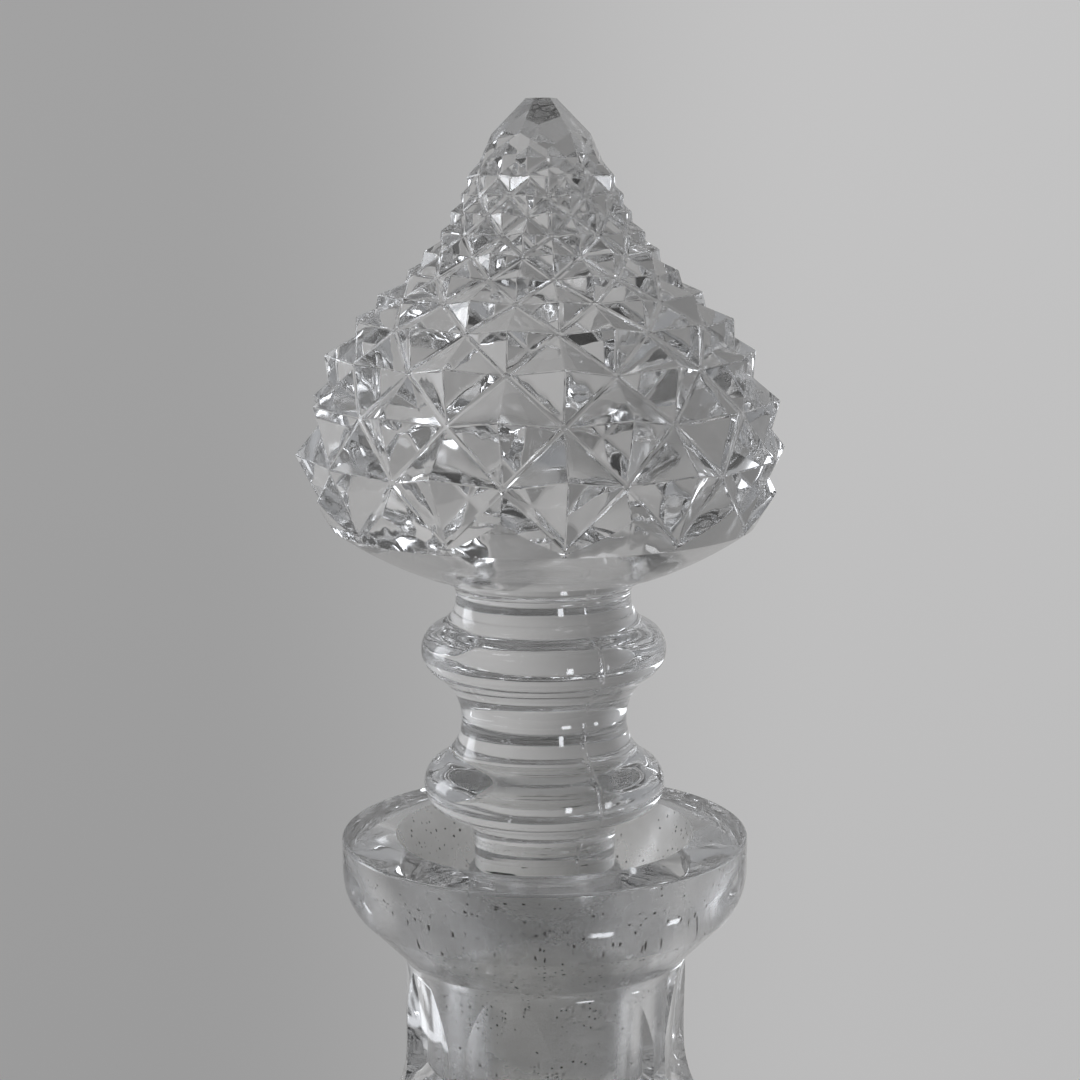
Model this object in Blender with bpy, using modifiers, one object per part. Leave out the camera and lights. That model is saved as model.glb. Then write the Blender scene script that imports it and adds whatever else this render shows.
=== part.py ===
"""Cut-glass wine decanter with a lift-out stopper.

Two pieces of solid glass.  The bottle stands on the ground plane with the
origin at the centre of its foot and +Z up.  The stopper is a pointed finial of
pressed diamonds on a turned stem, and its ground plug sits in the neck.
"""
import math

import bmesh
import bpy

MM = 0.001

# Bottle, driving dimensions
LIP_HEIGHT = 236 * MM
LIP_RADIUS = 29.9 * MM
MOUTH_RADIUS = 22 * MM
NECK_RADIUS = 20.9 * MM
BODY_RADIUS = 54.5 * MM
FOOT_RADIUS = 43 * MM
WALL = 6 * MM
BASE_THICKNESS = 14 * MM
FLOOR_CURVE = 14 * MM

# Lip and neck, heights below the lip
LIP_EDGE = 0.4 * MM
LIP_BAND = 5.1 * MM
LIP_CURVE = 9.5 * MM
NECK_CURVE = 3 * MM
LIP_SLOPE = math.radians(36.7)
NECK_TOP = 19.2 * MM
NECK_FOOT = 32.6 * MM
FLARE_CURVE = 18 * MM
FLARE_SLOPE = math.radians(55)
FUNNEL_DEPTH = 17 * MM
FUNNEL_SAG = 0.8 * MM

# Ground joint between plug and bore
PLUG_NECK_RADIUS = 10.4 * MM
PLUG_NECK_FOOT = 4.8 * MM
PLUG_TOP = 7 * MM
PLUG_BOTTOM = 34.5 * MM
PLUG_RADIUS = 11.6 * MM
PLUG_TAPER = 0.03
RUNNING_GAP = 0.3 * MM
BORE_FOOT = 36.5 * MM

# Foot: a waist, a spread edge and a standing ring around a shallow hollow
FOOT_WAIST = 10 * MM
FOOT_WAIST_RADIUS = 40.5 * MM
FOOT_SPREAD = 4.5 * MM
FOOT_EDGE = 2 * MM
FOOT_RING_WIDTH = 9 * MM
FOOT_HOLLOW = 1.5 * MM
FOOT_HOLLOW_SLOPE = 2 * MM

# Cut flutes
NECK_FLUTES = 8
NECK_FLUTE_TURN = math.radians(7)
NECK_FLUTE_CUT = 1.1 * MM
NECK_FLUTE_TOP = 18 * MM
NECK_FLUTE_RISE = 10 * MM
NECK_FLUTE_BOW = 0.9
NECK_FLUTE_FOOT = 62 * MM
NECK_FLUTE_RUN_OUT = 28 * MM
BASE_FLUTES = 16
BASE_FLUTE_CUT = 1.6 * MM
BASE_FLUTE_TOP = 66 * MM
BASE_FLUTE_RISE = 34 * MM
BASE_FLUTE_FOOT = 9.5 * MM

# Diamond band on the body
BAND_COUNT = 24
BAND_TOP = 137 * MM
BAND_ROWS = 8
BAND_RELIEF = 0.42
BAND_RECESS = 1 * MM

# Finial: the groove crossings lie on an arc, then on a curve up to the cap
FINIAL_COUNT = 12
FINIAL_TURN = math.radians(-9.65)
FINIAL_BASE = 47.3 * MM
BELLY_CENTRE = (-2.7 * MM, 53.7 * MM)
BELLY_RADIUS = 34.2 * MM
BELLY_TOP = 77.2 * MM
SPIRE_TOP = (7.8 * MM, 102 * MM)
SPIRE_SLOPE = math.radians(8.8)
SPIRE_PULL = 17.2 * MM
FINIAL_ROWS = 13
ROW_STEP = 0.96
FINIAL_RELIEF = 0.62
TIP_LIFT = 0.16
APRON = (1 * MM, 8 * MM)

# Cap: a hexagonal point cut on top of the finial
CAP_TOP = 106.3 * MM
CAP_TOP_RADIUS = 2.2 * MM
CAP_SLOPE = math.radians(44.5)
CAP_OFFSET = 0.75
CAP_SIDES = 6
CAP_CUTTER_HEIGHT = 60 * MM

# Stem of the stopper, heights above the lip
BOWL_RIM = (30.5 * MM, 46 * MM)
BOWL_BAND_SLOPE = 0.61
BOWL_FOOT = (14.5 * MM, 38 * MM)
BOWL_SAG = 0.7 * MM
STEM_ROOT = 4 * MM
STEM_RADIUS = 12.75 * MM
WAIST_RADIUS = 12.1 * MM
KNOP_CURVE = 4 * MM
UPPER_KNOP = (13.9 * MM, 27.6 * MM)
LOWER_KNOP = (13.7 * MM, 7.6 * MM)
UNDER_BOWL_CURVE = 2.2 * MM
UNDER_BOWL_STEP = 0.4 * MM
UNDER_BOWL_START = math.radians(130)
STEM_HOLLOW = 4.5 * MM
UPPER_WAIST_HOLLOW = 8 * MM
LOWER_WAIST_HOLLOW = 7 * MM
PLUG_HOLLOW = 5.1 * MM
PLUG_CHAMFER = 1 * MM

TURN_STEPS = 48
BELLY_STEPS = 100
SPIRE_STEPS = 150
NECK_FLUTE_STEPS = 14
BASE_FLUTE_STEPS = 7
CUTTER_RADIUS = 1.5 * BODY_RADIUS
MERGE = 0.00001
SHARP_ANGLE = math.radians(20)
GLASS_INDEX = 1.52


# ---- Outline helpers: every outline is a list of (radius, height) points ----

def arc(centre, radius, start, end, steps):
    """Points on a circle; angles in radians, 0 points away from the axis."""
    points = []
    for step in range(steps + 1):
        angle = start + (end - start) * step / steps
        points.append((centre[0] + radius * math.cos(angle), centre[1] + radius * math.sin(angle)))
    return points


def sagged_line(start, end, sag, steps):
    """A straight run from start to end that bows by sag at its middle."""
    length = math.dist(start, end)
    normal = ((start[1] - end[1]) / length, (end[0] - start[0]) / length)
    points = []
    for step in range(steps + 1):
        part = step / steps
        bow = 4 * sag * part * (1 - part)
        points.append((
            start[0] + (end[0] - start[0]) * part + normal[0] * bow,
            start[1] + (end[1] - start[1]) * part + normal[1] * bow,
        ))
    return points


def fillet_beside_bead(bead, waist_radius, curve, side):
    """A hollow that leaves a waist and runs tangent into a knop.

    Side is +1 when the waist is above the knop and -1 when it is below.
    Returns the hollow's centre and the angle from it towards the knop.
    """
    reach = curve + KNOP_CURVE
    offset = waist_radius + curve - bead[0]
    centre = (bead[0] + offset, bead[1] + side * math.sqrt(reach ** 2 - offset ** 2))
    towards = math.atan2(bead[1] - centre[1], bead[0] - centre[0])
    return centre, towards % (2 * math.pi)


def body_radius(height):
    """Outer radius of the body between its widest place and the foot."""
    widest = shoulder_centre()[1]
    part = (widest - height) / (widest - FOOT_WAIST)
    return BODY_RADIUS - (BODY_RADIUS - FOOT_WAIST_RADIUS) * part ** 2


def flare_centre():
    return (NECK_RADIUS + FLARE_CURVE, LIP_HEIGHT - NECK_FOOT)


def flare_end():
    centre = flare_centre()
    return (
        centre[0] - FLARE_CURVE * math.cos(FLARE_SLOPE),
        centre[1] - FLARE_CURVE * math.sin(FLARE_SLOPE),
    )


def shoulder_radius():
    return (BODY_RADIUS - flare_end()[0]) / (1 - math.cos(FLARE_SLOPE))


def shoulder_centre():
    end = flare_end()
    radius = shoulder_radius()
    return (end[0] - radius * math.cos(FLARE_SLOPE), end[1] - radius * math.sin(FLARE_SLOPE))


def band_heights():
    """Heights of the groove crossings, as far apart as half a diamond is wide."""
    heights = [BAND_TOP]
    for _ in range(BAND_ROWS - 1):
        heights.append(heights[-1] - math.pi * body_radius(heights[-1]) / BAND_COUNT)
    return heights[::-1]


# ---- Outlines ----

def lip_outline():
    """From the flat top of the lip, out and down to the neck."""
    slope_start = (LIP_RADIUS - LIP_CURVE, LIP_HEIGHT - LIP_BAND)
    rounding = arc(slope_start, LIP_CURVE, 0, -LIP_SLOPE, 4)
    hollow_centre = (NECK_RADIUS + NECK_CURVE, LIP_HEIGHT - NECK_TOP)
    hollow = arc(hollow_centre, NECK_CURVE, math.pi - LIP_SLOPE, math.pi, 4)
    edge = [(LIP_RADIUS - LIP_EDGE, LIP_HEIGHT), (LIP_RADIUS, LIP_HEIGHT - LIP_EDGE)]
    return edge + rounding + hollow


def body_outline():
    """From the foot of the neck over the shoulder and down to the foot."""
    flare = arc(flare_centre(), FLARE_CURVE, math.pi, math.pi + FLARE_SLOPE, 5)
    shoulder = arc(shoulder_centre(), shoulder_radius(), FLARE_SLOPE, 0, 8)
    bottom, top = band_heights()[0], BAND_TOP
    band = [
        (body_radius(top) - BAND_RECESS, top),
        (body_radius(bottom) - BAND_RECESS, bottom),
        (body_radius(bottom), bottom - BAND_RECESS),
    ]
    taper = []
    for step in range(1, 6):
        height = bottom + (FOOT_WAIST - bottom) * step / 5
        taper.append((body_radius(height), height))
    return flare + shoulder + band + taper


def foot_outline():
    """The standing ring and the shallow hollow inside it."""
    spread = (FOOT_RADIUS, FOOT_SPREAD)
    edge = arc((FOOT_RADIUS - FOOT_EDGE, FOOT_EDGE), FOOT_EDGE, 0, -math.pi / 2, 3)
    ring = FOOT_RADIUS - FOOT_EDGE - FOOT_RING_WIDTH
    hollow = [(ring, 0), (ring - FOOT_HOLLOW_SLOPE, FOOT_HOLLOW), (0, FOOT_HOLLOW)]
    return [spread] + edge + hollow


def cavity_outline():
    """The mouth, the funnel, the ground bore and the space for the wine."""
    funnel_foot = LIP_HEIGHT - FUNNEL_DEPTH
    bore_top = plug_radius(FUNNEL_DEPTH) + RUNNING_GAP
    bore_foot = plug_radius(BORE_FOOT) + RUNNING_GAP
    mouth = [(0, LIP_HEIGHT + WALL), (MOUTH_RADIUS, LIP_HEIGHT + WALL)]
    funnel = sagged_line((MOUTH_RADIUS, LIP_HEIGHT), (bore_top, funnel_foot), FUNNEL_SAG, 5)
    bore = [(bore_foot, LIP_HEIGHT - BORE_FOOT)]
    centre = shoulder_centre()
    inner_radius = shoulder_radius() - WALL
    shoulder = arc(centre, inner_radius, FLARE_SLOPE, 0, 8)
    side = []
    low = BASE_THICKNESS + FLOOR_CURVE
    for step in range(1, 6):
        height = centre[1] + (low - centre[1]) * step / 5
        side.append((body_radius(height) - WALL, height))
    corner = arc((side[-1][0] - FLOOR_CURVE, low), FLOOR_CURVE, 0, -math.pi / 2, 4)
    return mouth + funnel + bore + shoulder + side + corner[1:] + [(0, BASE_THICKNESS)]


def plug_radius(depth):
    """Radius of the ground plug at a depth below the lip."""
    return PLUG_RADIUS - PLUG_TAPER * (depth - PLUG_TOP)


def stem_outline():
    """From inside the finial down the stem and its two knops to the plug's end."""
    stem_hollow, towards = fillet_beside_bead(UPPER_KNOP, STEM_RADIUS, STEM_HOLLOW, 1)
    waist_top, leave = fillet_beside_bead(UPPER_KNOP, WAIST_RADIUS, UPPER_WAIST_HOLLOW, -1)
    waist_foot, enter = fillet_beside_bead(LOWER_KNOP, WAIST_RADIUS, LOWER_WAIST_HOLLOW, 1)
    plug_hollow, depart = fillet_beside_bead(LOWER_KNOP, PLUG_NECK_RADIUS, PLUG_HOLLOW, -1)
    under_bowl = (STEM_RADIUS + UNDER_BOWL_CURVE, stem_hollow[1] + UNDER_BOWL_STEP)
    inside = FINIAL_BASE + STEM_ROOT
    plug_end = plug_radius(PLUG_BOTTOM)

    outline = [(0, inside), (BOWL_FOOT[0], inside), BOWL_FOOT]
    outline += arc(under_bowl, UNDER_BOWL_CURVE, UNDER_BOWL_START, math.pi, 3)
    outline += arc(stem_hollow, STEM_HOLLOW, math.pi, towards, 4)
    outline += arc(UPPER_KNOP, KNOP_CURVE, towards - math.pi, leave - math.pi, 8)[1:]
    outline += arc(waist_top, UPPER_WAIST_HOLLOW, leave, math.pi, 4)[1:]
    outline += arc(waist_foot, LOWER_WAIST_HOLLOW, math.pi, enter, 4)
    outline += arc(LOWER_KNOP, KNOP_CURVE, enter - math.pi, depart - math.pi, 8)[1:]
    outline += arc(plug_hollow, PLUG_HOLLOW, depart, math.pi, 4)[1:]
    outline += [(PLUG_NECK_RADIUS, -PLUG_NECK_FOOT), (PLUG_RADIUS, -PLUG_TOP)]
    outline += [(plug_end, PLUG_CHAMFER - PLUG_BOTTOM), (plug_end - PLUG_CHAMFER, -PLUG_BOTTOM)]
    return outline + [(0, -PLUG_BOTTOM)]


def bowl_outline():
    """The turned solid that the finial's underside is cut to."""
    top = CAP_TOP + WALL
    edge = (BOWL_RIM[0] + BOWL_BAND_SLOPE * (BELLY_TOP - BOWL_RIM[1]), BELLY_TOP)
    underside = sagged_line(BOWL_RIM, BOWL_FOOT, BOWL_SAG, 4)
    return [(0, top), (edge[0], top), edge] + underside + [(0, BOWL_FOOT[1])]


def radius_at(outline, height):
    """Radius of a downward-running outline at a height."""
    for above, below in zip(outline, outline[1:]):
        if above[1] >= height >= below[1] and above[1] > below[1]:
            part = (above[1] - height) / (above[1] - below[1])
            return above[0] + (below[0] - above[0]) * part
    raise ValueError("height is outside the outline")


def flute_envelope(outline, count, top, foot, cut_depth, steps):
    """Arris radius of flat flutes that cut into an outline between two heights.

    cut_depth gives how far a flute's middle lies inside the outline.  The
    envelope stands clear of the glass above the top and below the foot.
    """
    points = [(0, LIP_HEIGHT + WALL), (CUTTER_RADIUS, LIP_HEIGHT + WALL), (CUTTER_RADIUS, top + WALL)]
    for step in range(steps + 1):
        height = top + (foot - top) * step / steps
        apothem = radius_at(outline, height) - cut_depth(height)
        points.append((apothem / math.cos(math.pi / count), height))
    return points + [(CUTTER_RADIUS, foot - WALL), (CUTTER_RADIUS, -WALL), (0, -WALL)]


def neck_flute_depth(height):
    rise = min(1, (LIP_HEIGHT - NECK_FLUTE_TOP - height) / NECK_FLUTE_RISE) ** NECK_FLUTE_BOW
    run_out = min(1, (height - LIP_HEIGHT + NECK_FLUTE_FOOT) / NECK_FLUTE_RUN_OUT)
    return NECK_FLUTE_CUT * rise * run_out


def base_flute_depth(height):
    return BASE_FLUTE_CUT * min(1, (BASE_FLUTE_TOP - height) / BASE_FLUTE_RISE)


# ---- Finial rows ----

def finial_curve():
    """Closely spaced points on the surface that the groove crossings lie on."""
    start = math.asin((FINIAL_BASE - BELLY_CENTRE[1]) / BELLY_RADIUS)
    end = math.asin((BELLY_TOP - BELLY_CENTRE[1]) / BELLY_RADIUS)
    belly = arc(BELLY_CENTRE, BELLY_RADIUS, start, end, BELLY_STEPS)
    first = belly[-1]
    third = (
        SPIRE_TOP[0] + SPIRE_PULL * math.sin(SPIRE_SLOPE),
        SPIRE_TOP[1] - SPIRE_PULL * math.cos(SPIRE_SLOPE),
    )
    spire = []
    for step in range(1, SPIRE_STEPS + 1):
        part = step / SPIRE_STEPS
        rest = 1 - part
        spire.append(tuple(
            rest ** 3 * first[axis] + 3 * rest ** 2 * part * first[axis]
            + 3 * rest * part ** 2 * third[axis] + part ** 3 * SPIRE_TOP[axis]
            for axis in (0, 1)
        ))
    return belly + spire


def finial_rows():
    """Groove crossings: each step up the surface is half a diamond's width.

    The first row is an apron below the finial, for the bowl to cut away.
    """
    curve = finial_curve()
    rows = [(curve[0][0] - APRON[0], curve[0][1] - APRON[1]), curve[0]]
    travelled = 0.0
    for before, after in zip(curve, curve[1:]):
        travelled += math.dist(before, after)
        if travelled >= ROW_STEP * math.pi * after[0] / FINIAL_COUNT:
            rows.append(after)
            travelled = 0.0
        if len(rows) == FINIAL_ROWS + 1:
            break
    return rows


# ---- Mesh building ----

def new_object(name, mesh, collection):
    item = bpy.data.objects.new(name, mesh)
    collection.objects.link(item)
    return item


def ring(shape, count, radius, height, offset):
    """A ring of corners; angle 0 faces -Y and offset is in pitches."""
    corners = []
    for index in range(count):
        angle = 2 * math.pi * (index + offset) / count
        corners.append(shape.verts.new((radius * math.sin(angle), -radius * math.cos(angle), height)))
    return corners


def diamond_skin(shape, rows, count, relief):
    """Staggered rows of four-sided pyramids; returns the first and last rings.

    Each row's crossings are the left and right corners of its pyramids, and the
    rows below and above give their bottom and top corners.
    """
    rings = []
    for row, (radius, height) in enumerate(rows):
        rings.append(ring(shape, count, radius, height, 0.5 * (row % 2)))
    half_pitch = math.pi / count
    for row, (radius, height) in enumerate(rows):
        odd = row % 2
        half_width = radius * math.sin(half_pitch)
        for index in range(count):
            left = rings[row][index]
            right = rings[row][(index + 1) % count]
            column = (index + odd) % count
            below = rings[row - 1][column] if row > 0 else None
            above = rings[row + 1][column] if row < len(rows) - 1 else None
            if below is None:
                shape.faces.new((left, right, above))
                continue
            if above is None:
                shape.faces.new((right, left, below))
                continue
            angle = 2 * math.pi * (index + 0.5 + 0.5 * odd) / count
            tip_radius = radius * math.cos(half_pitch) + relief * half_width
            tip = shape.verts.new((
                tip_radius * math.sin(angle),
                -tip_radius * math.cos(angle),
                height + TIP_LIFT * half_width,
            ))
            corners = (left, below, right, above)
            for side in range(4):
                shape.faces.new((corners[side], corners[(side + 1) % 4], tip))
    return rings[0], rings[-1]


def bridge(shape, lower, upper):
    """A band of quads between two rings with the same number of corners."""
    count = len(lower)
    for index in range(count):
        following = (index + 1) % count
        shape.faces.new((lower[index], lower[following], upper[following], upper[index]))


def finish_mesh(shape, name):
    bmesh.ops.recalc_face_normals(shape, faces=shape.faces)
    mesh = bpy.data.meshes.new(name)
    shape.to_mesh(mesh)
    shape.free()
    return mesh


def crown_radius():
    """Where the slope of the last diamonds arrives at the top of the cap."""
    below, last = finial_rows()[-2:]
    flat = math.cos(math.pi / FINIAL_COUNT)
    slope = (below[0] - last[0] * flat) / (last[1] - below[1])
    return last[0] - slope / flat * (CAP_TOP - last[1])


def finial_mesh():
    """The diamond finial before its underside and cap are cut."""
    shape = bmesh.new()
    bottom, top = diamond_skin(shape, finial_rows(), FINIAL_COUNT, FINIAL_RELIEF)
    shape.faces.new(bottom[::-1])
    crown = ring(shape, FINIAL_COUNT, crown_radius(), CAP_TOP, 0.5 * (FINIAL_ROWS % 2))
    bridge(shape, top, crown)
    shape.faces.new(crown)
    return finish_mesh(shape, "stopper")


def band_mesh():
    """The ring of diamonds that is joined to the body."""
    shape = bmesh.new()
    rows = [(body_radius(height), height) for height in band_heights()]
    bottom, top = diamond_skin(shape, rows, BAND_COUNT, BAND_RELIEF)
    inner = body_radius(rows[0][1]) - WALL / 2
    inner_bottom = ring(shape, BAND_COUNT, inner, rows[0][1], 0)
    inner_top = ring(shape, BAND_COUNT, inner, rows[-1][1], 0.5 * ((BAND_ROWS - 1) % 2))
    bridge(shape, inner_bottom, bottom)
    bridge(shape, top, inner_top)
    for index in range(BAND_COUNT):
        following = (index + 1) % BAND_COUNT
        shape.faces.new((inner_top[index], inner_top[following], inner_bottom[following]))
        shape.faces.new((inner_top[index], inner_bottom[following], inner_bottom[index]))
    return finish_mesh(shape, "diamond_band")


def turned(name, outline, steps, collection):
    """A solid of revolution from an outline that runs from top to bottom."""
    mesh = bpy.data.meshes.new(name)
    points = [(radius, 0, height) for radius, height in outline]
    mesh.from_pydata(points, [(index, index + 1) for index in range(len(points) - 1)], [])
    item = new_object(name, mesh, collection)
    screw = item.modifiers.new("turn", "SCREW")
    screw.axis = "Z"
    screw.angle = 2 * math.pi
    screw.steps = steps
    screw.render_steps = steps
    screw.use_merge_vertices = True
    screw.merge_threshold = MERGE
    screw.use_normal_calculate = False
    return item


def hexagonal_point(collection):
    """The six-sided pyramid that cuts the cap's panels."""
    wide_radius = CAP_TOP_RADIUS + CAP_CUTTER_HEIGHT * math.tan(CAP_SLOPE)
    shape = bmesh.new()
    flat = ring(shape, CAP_SIDES, CAP_TOP_RADIUS, CAP_TOP, CAP_OFFSET)
    wide = ring(shape, CAP_SIDES, wide_radius, CAP_TOP - CAP_CUTTER_HEIGHT, CAP_OFFSET)
    low = ring(shape, CAP_SIDES, wide_radius, 0, CAP_OFFSET)
    bridge(shape, wide, flat)
    bridge(shape, low, wide)
    shape.faces.new(flat)
    shape.faces.new(low[::-1])
    return new_object("cap_cutter", finish_mesh(shape, "cap_cutter"), collection)


def cut(item, tool, operation):
    """Add a Boolean and hide the tool that drives it."""
    boolean = item.modifiers.new(tool.name, "BOOLEAN")
    boolean.operation = operation
    boolean.object = tool
    boolean.solver = "EXACT"
    tool.hide_render = True
    tool.display_type = "WIRE"


def apply_and_shade(item):
    """Fix the cut shape in the mesh, smooth where it is round."""
    evaluated = item.evaluated_get(bpy.context.evaluated_depsgraph_get())
    mesh = bpy.data.meshes.new_from_object(evaluated)
    mesh.name = item.name
    mesh.shade_smooth()
    mesh.set_sharp_from_angle(angle=SHARP_ANGLE)
    item.modifiers.clear()
    item.data = mesh


def glass(name, colour, roughness):
    material = bpy.data.materials.new(name)
    material.use_nodes = True
    shader = material.node_tree.nodes["Principled BSDF"]
    shader.inputs["Base Color"].default_value = (*colour, 1)
    shader.inputs["Roughness"].default_value = roughness
    shader.inputs["Metallic"].default_value = 0
    shader.inputs["Transmission Weight"].default_value = 1
    shader.inputs["IOR"].default_value = GLASS_INDEX
    return material


def make_stopper(parts, cutters):
    stopper = new_object("stopper", finial_mesh(), parts)
    stem = turned("stem_core", stem_outline(), TURN_STEPS, cutters)
    bowl = turned("bowl_cutter", bowl_outline(), TURN_STEPS, cutters)
    cap = hexagonal_point(cutters)
    cut(stopper, cap, "INTERSECT")
    cut(stopper, bowl, "INTERSECT")
    cut(stopper, stem, "UNION")
    for item in (stopper, stem, bowl, cap):
        item.location.z = LIP_HEIGHT
        item.rotation_euler.z = FINIAL_TURN
    apply_and_shade(stopper)
    stopper.data.materials.clear()
    stopper.data.materials.append(glass("stopper_glass", colour=(0.80, 0.82, 0.82), roughness=0.04))
    return stopper


def make_bottle(parts, cutters):
    outline = [(0, LIP_HEIGHT)] + lip_outline() + body_outline() + foot_outline()
    bottle = turned("bottle", outline, TURN_STEPS, parts)
    neck_flutes = flute_envelope(
        outline, NECK_FLUTES, LIP_HEIGHT - NECK_FLUTE_TOP, LIP_HEIGHT - NECK_FLUTE_FOOT,
        neck_flute_depth, NECK_FLUTE_STEPS)
    base_flutes = flute_envelope(
        outline, BASE_FLUTES, BASE_FLUTE_TOP, BASE_FLUTE_FOOT,
        base_flute_depth, BASE_FLUTE_STEPS)
    neck = turned("neck_flutes", neck_flutes, NECK_FLUTES, cutters)
    neck.rotation_euler.z = NECK_FLUTE_TURN
    base = turned("base_flutes", base_flutes, BASE_FLUTES, cutters)
    base.rotation_euler.z = math.pi / BASE_FLUTES
    band = new_object("diamond_band", band_mesh(), cutters)
    cavity = turned("cavity", cavity_outline(), TURN_STEPS, cutters)
    cut(bottle, neck, "INTERSECT")
    cut(bottle, base, "INTERSECT")
    cut(bottle, band, "UNION")
    cut(bottle, cavity, "DIFFERENCE")
    apply_and_shade(bottle)
    bottle.data.materials.clear()
    bottle.data.materials.append(glass("bottle_glass", colour=(0.78, 0.80, 0.80), roughness=0.06))
    return bottle


def clear_scene():
    for item in list(bpy.data.objects):
        bpy.data.objects.remove(item, do_unlink=True)


def new_collection(name):
    collection = bpy.data.collections.new(name)
    bpy.context.scene.collection.children.link(collection)
    return collection


def main():
    clear_scene()
    parts = new_collection("wine_decanter")
    cutters = new_collection("cutters")
    make_bottle(parts, cutters)
    make_stopper(parts, cutters)


main()
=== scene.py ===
"""Looks of the cut-glass wine decanter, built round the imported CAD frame.

The stopper and the bottle are each one closed piece of glass, because light
has to pass through a piece without meeting faces inside it.  Outlines are
lists of (radius, height) points; stopper heights count from the lip.
"""

import math
import random

import bmesh
import bpy
from mathutils import Matrix, Vector


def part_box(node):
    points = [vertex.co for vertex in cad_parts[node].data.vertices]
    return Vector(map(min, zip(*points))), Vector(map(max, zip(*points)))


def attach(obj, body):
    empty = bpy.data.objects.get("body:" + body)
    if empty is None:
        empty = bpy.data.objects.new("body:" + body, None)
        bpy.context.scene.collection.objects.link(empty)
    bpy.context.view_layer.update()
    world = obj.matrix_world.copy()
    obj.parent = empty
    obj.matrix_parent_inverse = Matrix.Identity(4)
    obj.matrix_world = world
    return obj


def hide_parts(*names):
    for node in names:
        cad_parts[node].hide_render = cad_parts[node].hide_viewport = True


MM = 0.001
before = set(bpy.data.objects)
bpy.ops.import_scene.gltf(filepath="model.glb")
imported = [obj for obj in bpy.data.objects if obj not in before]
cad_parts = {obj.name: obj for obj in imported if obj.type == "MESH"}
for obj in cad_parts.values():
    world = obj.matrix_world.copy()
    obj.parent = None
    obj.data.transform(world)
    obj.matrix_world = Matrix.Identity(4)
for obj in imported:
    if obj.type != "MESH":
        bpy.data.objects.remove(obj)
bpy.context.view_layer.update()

# Driving dimensions that the frame gives
BOTTLE_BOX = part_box("bottle")
STOPPER_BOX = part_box("stopper")
LIP = BOTTLE_BOX[1].z
CAP_TOP = STOPPER_BOX[1].z - LIP
PLUG_END = LIP - STOPPER_BOX[0].z

# Bottle
LIP_RADIUS = 29.9 * MM
MOUTH_RADIUS = 22 * MM
NECK_RADIUS = 20.9 * MM
BODY_RADIUS = 54.5 * MM
FOOT_RADIUS = 43 * MM
WALL = 6 * MM
BASE_THICKNESS = 14 * MM
FLOOR_CURVE = 14 * MM

# Lip and neck, heights below the lip
LIP_EDGE = 0.5 * MM
LIP_BAND = 5.1 * MM
LIP_CURVE = 9.5 * MM
LIP_SLOPE = math.radians(36.7)
NECK_CURVE = 3 * MM
NECK_TOP = 19.2 * MM
NECK_FOOT = 32.6 * MM
FLARE_CURVE = 18 * MM
FLARE_SLOPE = math.radians(55)
FUNNEL_DEPTH = 17 * MM
FUNNEL_SAG = 0.8 * MM

# Ground joint between plug and bore
PLUG_NECK_RADIUS = 10.4 * MM
PLUG_NECK_FOOT = 4.8 * MM
PLUG_TOP = 7 * MM
PLUG_RADIUS = 11.6 * MM
PLUG_TAPER = 0.03
PLUG_SHOULDER_SAG = 0.3 * MM
RUNNING_GAP = 0.3 * MM
BORE_FOOT = 36.5 * MM

# Foot
FOOT_WAIST = 10 * MM
FOOT_WAIST_RADIUS = 40.5 * MM
FOOT_SPREAD = 4.5 * MM
FOOT_EDGE = 2 * MM
FOOT_RING_WIDTH = 9 * MM
FOOT_HOLLOW = 1.5 * MM
FOOT_HOLLOW_SLOPE = 2 * MM

# Cut flutes
NECK_FLUTES = 8
NECK_FLUTE_TURN = math.radians(7)
NECK_FLUTE_CUT = 1.1 * MM
NECK_FLUTE_TOP = 18 * MM
NECK_FLUTE_RISE = 10 * MM
NECK_FLUTE_BOW = 0.9
NECK_FLUTE_FOOT = 62 * MM
NECK_FLUTE_RUN_OUT = 28 * MM
BASE_FLUTES = 16
BASE_FLUTE_CUT = 1.6 * MM
BASE_FLUTE_TOP = 66 * MM
BASE_FLUTE_RISE = 34 * MM
BASE_FLUTE_FOOT = 9.5 * MM

# Diamond band on the body
BAND_COUNT = 24
BAND_TOP = 137 * MM
BAND_ROWS = 8
BAND_RELIEF = 0.42
BAND_RECESS = 1 * MM

# Finial: groove crossings on an arc, then on a curve up to the cap
FINIAL_COUNT = 12
FINIAL_TURN = math.radians(-9.65)
FINIAL_BASE = 47.3 * MM
BELLY_CENTRE = (-2.7 * MM, 53.7 * MM)
BELLY_RADIUS = 34.2 * MM
BELLY_TOP = 77.2 * MM
SPIRE_TOP = (7.8 * MM, 102 * MM)
SPIRE_SLOPE = math.radians(8.8)
SPIRE_PULL = 17.2 * MM
FINIAL_ROWS = 13
ROW_STEP = 0.96
FINIAL_RELIEF = 0.62
TIP_LIFT = 0.16
APRON = (1 * MM, 8 * MM)

# Pressing: rounded grooves and ridges, and how far corners stray from true
GROOVE_WIDTH = 0.55 * MM
GROOVE_SEGMENTS = 3
RIDGE_WIDTH = 0.14 * MM
RIDGE_SEGMENTS = 2
ROUND_PROFILE = 0.5
CUT_ANGLE = math.radians(20)
STRAY = 0.12 * MM
FINIAL_SEED = 3
BAND_SEED = 5

# Cap
CAP_TOP_RADIUS = 2.2 * MM
CAP_SLOPE = math.radians(44.5)
CAP_OFFSET = 0.75
CAP_SIDES = 6
CAP_CUTTER_HEIGHT = 60 * MM

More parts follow.
